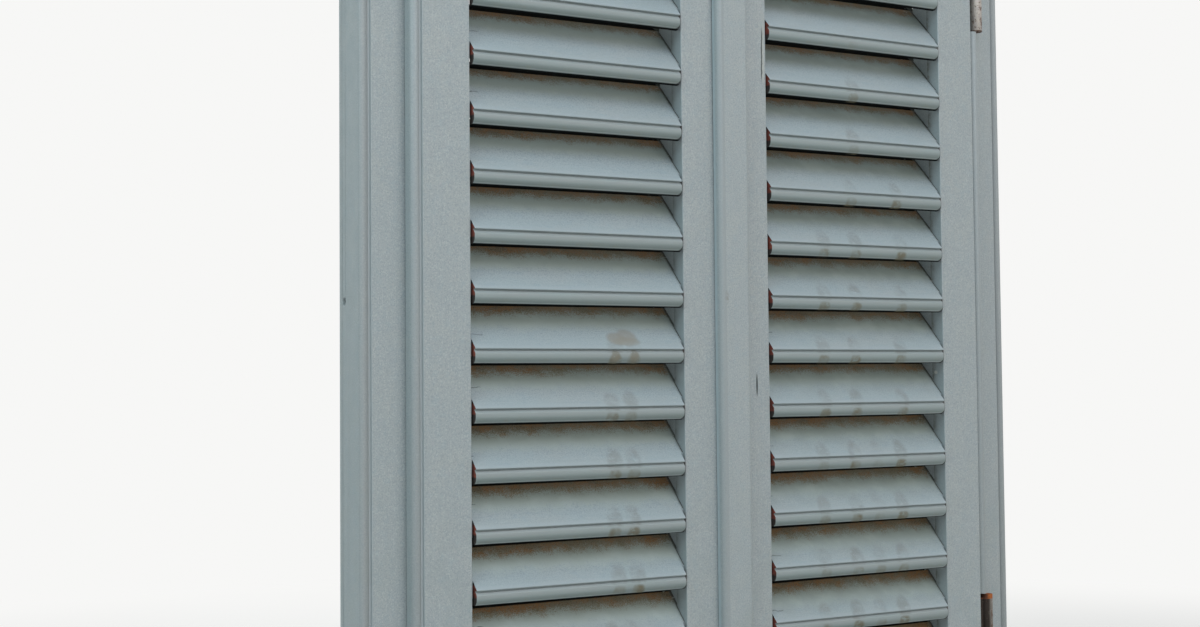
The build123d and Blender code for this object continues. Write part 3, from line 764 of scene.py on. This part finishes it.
# A dark painted shadow where the left flank meets the left leaf, more of it higher up.
joint_shadow = strip.both(
    left_half, strip.fade(strip.y, strip_high.y - 0.0016, strip_high.y - 0.0006),
    strip.fade(strip.z, 0.62, 0.82, 0.75), strip.cloud(0.02, 0.25, 0.55),
)
strip.stain(joint_shadow_black, joint_shadow, 0.85)
rounding = strip.both(
    strip.fade(strip.x, strip_low.x + 0.0085, strip_low.x + 0.0070),
    strip.fade(strip.y, flank_front_y, flank_front_y - 0.0010),
)
strip.stain(rounding_grey, strip.both(rounding, 0.6))
ease_edges(["cover_strip"], strip_easing)
strip.lay_on("cover_strip")

# Hinges: zinc-coated steel barrels on pins, with tongues let into the wood. The coat is worn and
# brown with rust, most of all at the barrels' ends. Painted shade darkens the lower barrel's left
# side and the rust left of the pins.
steel_easing = 0.0004
hinge_axis_x = leaf_high.x + 0.0044
between_hinges_z = 0.60
barrel_rust_height = 0.0045
zinc_grey = (0.400, 0.362, 0.325)
dull_zinc = (0.290, 0.265, 0.255)
bright_zinc = (0.480, 0.430, 0.380)
lower_hinge_brown = (0.150, 0.132, 0.112)
rust_brown = (0.100, 0.052, 0.030)
notch_shadow_black = (0.020, 0.012, 0.008)
fresh_rust = (0.330, 0.088, 0.013)
shaded_rust = (0.060, 0.020, 0.010)
barrel_end_rust = (0.085, 0.035, 0.018)
pit_brown = (0.055, 0.030, 0.020)
zinc = Finish("weathered_zinc", zinc_grey, 0.45, 0.2)
zinc.stain(dull_zinc, zinc.cloud(0.006, 0.42, 0.66, 0.8, (1, 1, 2.5), 601))
zinc.stain(bright_zinc, zinc.cloud(0.004, 0.55, 0.72, 0.6, (1, 1, 3), 603))
lower_hinge = zinc.fade(zinc.z, between_hinges_z + 0.02, between_hinges_z - 0.02)
browned = zinc.cloud(0.006, 0.20, 0.50, 0.90, (1, 1, 2), 605)
zinc.stain(lower_hinge_brown, zinc.both(lower_hinge, browned), 0.6)
zinc.stain(rust_brown, zinc.cloud(0.0045, 0.56, 0.66, 0.85, (1, 1, 1.5), 607), 0.8)
# A nearly black painted shadow on the lower barrel's left side, by the notch.
notch_shadow = zinc.both(
    lower_hinge, zinc.fade(zinc.x, hinge_axis_x + 0.0010, hinge_axis_x - 0.0030)
)
zinc.stain(notch_shadow_black, zinc.both(notch_shadow, zinc.cloud(0.004, 0.15, 0.40, 0.95, shift=615)), 0.9)
for end in ("top", "bottom"):
    barrel_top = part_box(f"right_{end}_hinge_leaf_half")[1].z
    end_rust = zinc.within(zinc.z, barrel_top - barrel_rust_height, barrel_top + 0.001, 0.0015)
    rusted = zinc.both(end_rust, zinc.cloud(0.003, 0.15, 0.40, 0.95, shift=611))
    zinc.stain(fresh_rust, rusted, 0.8)
    # Painted shade on the rust left of the pin.
    left_of_pin = zinc.fade(zinc.x, hinge_axis_x - 0.0020, hinge_axis_x - 0.0050, 0.9)
    zinc.stain(shaded_rust, zinc.both(end_rust, left_of_pin), 0.8)
for end in ("top", "bottom"):
    barrel_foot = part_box(f"right_{end}_hinge_frame_half")[0].z
    end_rust = zinc.within(zinc.z, barrel_foot - 0.001, barrel_foot + 0.0011, 0.0005)
    rusted = zinc.both(end_rust, zinc.cloud(0.003, 0.20, 0.50, 0.95, shift=613))
    zinc.stain(barrel_end_rust, rusted, 0.85)
pits = zinc.cloud(0.0014, 0.58, 0.68, shift=617)
zinc.stain(pit_brown, zinc.both(pits, 0.8), 0.85)
zinc.raise_by(pits, -0.0002)
hinge_names = [
    name for name in nodes if name.endswith(("_hinge_leaf_half", "_hinge_frame_half"))
]
ease_edges(hinge_names, steel_easing)
zinc.lay_on(*hinge_names)

# Espagnolette: a forged steel rod with end hooks and a lever, turning in screwed guides, with
# keepers on the head and the sill and a catch on the left leaf. It is painted dark grey, and worn
# bright where the rod turns and where a hand takes the lever.
leaf_middle_z = (leaf_low.z + leaf_high.z) / 2
guide_heights = (
    leaf_low.z + 0.090, leaf_middle_z - 0.110, leaf_middle_z + 0.110, leaf_high.z - 0.090
)
half_guide = 0.0115
rod_back_y = 0.0235
handled_from_x = 0.085
handled_to_x = 0.115
steel_grey = (0.050, 0.053, 0.056)
dusty_grey = (0.085, 0.088, 0.090)
chalky_grey = (0.120, 0.118, 0.108)
bare_edge = (0.22, 0.21, 0.20)
bare_rod = (0.26, 0.25, 0.235)
handled_grey = (0.16, 0.15, 0.135)
steel_rust = (0.115, 0.055, 0.028)
steel = Finish("dark_painted_steel", steel_grey, 0.42, 0.0)
steel.stain(dusty_grey, steel.cloud(0.018, 0.40, 0.68, 0.7, shift=701))
steel.stain(chalky_grey, steel.cloud(0.005, 0.54, 0.72, 0.5, shift=703), 0.6)
steel.raise_by(steel.cloud(0.006, 0.25, 0.75, shift=707), 0.00018)
facing = [
    steel.maths("ABSOLUTE", part) for part in (steel.facing_x, steel.facing_y, steel.facing_z)
]
straightest = steel.maths("MAXIMUM", steel.maths("MAXIMUM", facing[0], facing[1]), facing[2])
worn_edge = steel.both(
    steel.within(straightest, 0.60, 0.90, 0.05), steel.cloud(0.004, 0.45, 0.62, 0.55, shift=711)
)
steel.stain(bare_edge, worn_edge, 0.35)
for guide_z in guide_heights:
    turned = steel.both(
        steel.within(steel.z, guide_z - half_guide, guide_z + half_guide, 0.0012),
        steel.fade(steel.y, rod_back_y + 0.004, rod_back_y),
        steel.cloud(0.003, 0.42, 0.60, 0.6, (3, 3, 1), 715),
    )
    steel.stain(bare_rod, turned, 0.3)
handled = steel.both(
    steel.fade(steel.x, handled_from_x, handled_to_x),
    steel.cloud(0.010, 0.38, 0.60, 0.5, shift=719),
)
steel.stain(handled_grey, handled, 0.3)
steel.stain(steel_rust, steel.cloud(0.0028, 0.62, 0.72, 0.75, shift=723), 0.8)
fastener_names = [name for name in nodes if "espagnolette" in name or "catch" in name]
ease_edges(fastener_names, steel_easing)
steel.lay_on(*fastener_names)

# Screws: round-headed slotted wood screws of zinc-coated steel, which hold the guides, the keepers
# and the catch. Each was driven until it was tight, so the slots stand at odd turns.
head_radius = 0.0035
head_height = 0.0023
head_outline = (
    (head_radius, 0), (head_radius, 0.0012), (0.0031, 0.0017), (0.0022, 0.0021), (0, head_height)
)
slot_width = 0.0009
slot_depth = 0.0012


def corners_in(geometry):
    """Pick the corner points out of what a mesh step gives back."""
    return [item for item in geometry if isinstance(item, bmesh.types.BMVert)]


def slotted_screws(name, places, facing, body, finish):
    """Screw heads at these places, all facing one way."""
    turns = Random(name)
    group = bmesh.new()
    points = [group.verts.new((reach, 0, rise)) for reach, rise in head_outline]
    edges = [group.edges.new(pair) for pair in zip(points, points[1:])]
    bmesh.ops.spin(
        group, geom=points + edges, axis=(0, 0, 1), angle=2 * pi, steps=32, use_merge=True
    )
    bmesh.ops.remove_doubles(group, verts=group.verts, dist=0.000001)
    for side in (-1, 1):
        bmesh.ops.bisect_plane(
            group, geom=group.verts[:] + group.edges[:] + group.faces[:],
            plane_co=(0, side * slot_width / 2, 0), plane_no=(0, 1, 0),
        )
    bmesh.ops.recalc_face_normals(group, faces=group.faces)
    slot = [
        face for face in group.faces
        if abs(face.calc_center_median().y) < slot_width / 2 and abs(face.normal.z) > 0.3
    ]
    for point in corners_in(bmesh.ops.extrude_face_region(group, geom=slot)["geom"]):
        point.co.z = head_height - slot_depth
    pattern = group.verts[:] + group.edges[:] + group.faces[:]
    for place in places:
        head = corners_in(bmesh.ops.duplicate(group, geom=pattern)["geom"])
        seat = Matrix.Translation(place) @ facing.to_track_quat("Z", "X").to_matrix().to_4x4()
        turn = Matrix.Rotation(turns.uniform(0, pi), 4, "Z")
        bmesh.ops.transform(group, matrix=seat @ turn, verts=head)
    bmesh.ops.delete(group, geom=corners_in(pattern), context="VERTS")
    bmesh.ops.recalc_face_normals(group, faces=group.faces)
    mesh = bpy.data.meshes.new(name)
    group.to_mesh(mesh)
    group.free()
    mesh.materials.append(finish.material)
    screws = bpy.data.objects.new(name, mesh)
    bpy.context.collection.objects.link(screws)
    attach(screws, body)


plated_grey = (0.36, 0.35, 0.33)
dull_plating = (0.24, 0.22, 0.19)
screw_rust = (0.13, 0.06, 0.03)
plated = Finish("plated_screw_steel", plated_grey, 0.38, 0.8)
plated.stain(dull_plating, plated.cloud(0.002, 0.42, 0.62, 0.7, shift=801), 0.5)
plated.stain(screw_rust, plated.cloud(0.0014, 0.56, 0.66, 0.85, shift=803), 0.8)
plated.raise_by(plated.cloud(0.0009, 0.3, 0.7, shift=805), 0.00005)
plated.lay_on()
backwards = Vector((0, 1, 0))
plate_thickness = 0.003
plate_face_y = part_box("right_meeting_stile")[1].y + plate_thickness
guide_low, guide_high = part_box("espagnolette_guides")
guide_x = (guide_low.x + guide_high.x) / 2
guide_screw_places = [
    (guide_x + aside, plate_face_y, guide_z + away)
    for guide_z in guide_heights for aside in (-0.010, 0.010) for away in (-0.015, 0.015)
]
slotted_screws("guide_screws", guide_screw_places, backwards, "right_leaf", plated)
catch_low, catch_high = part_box("handle_catch")
catch_x = (catch_low.x + catch_high.x) / 2
catch_z = (catch_low.z + catch_high.z) / 2
catch_screw_places = [(catch_x, plate_face_y, catch_z + away) for away in (-0.0145, 0.0145)]
slotted_screws("catch_screws", catch_screw_places, backwards, "left_leaf", plated)
keeper_low, keeper_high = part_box("espagnolette_keepers")
keeper_y = (keeper_low.y + keeper_high.y) / 2
keeper_screw_xs = (keeper_low.x + 0.0065, keeper_high.x - 0.0085)
keeper_thickness = 0.004
for keeper, keeper_z, up in (
    ("lower", keeper_low.z + keeper_thickness, 1), ("upper", keeper_high.z - keeper_thickness, -1)
):
    keeper_screw_places = [(screw_x, keeper_y, keeper_z) for screw_x in keeper_screw_xs]
    slotted_screws(
        f"{keeper}_keeper_screws", keeper_screw_places, Vector((0, 0, up)), "frame", plated
    )
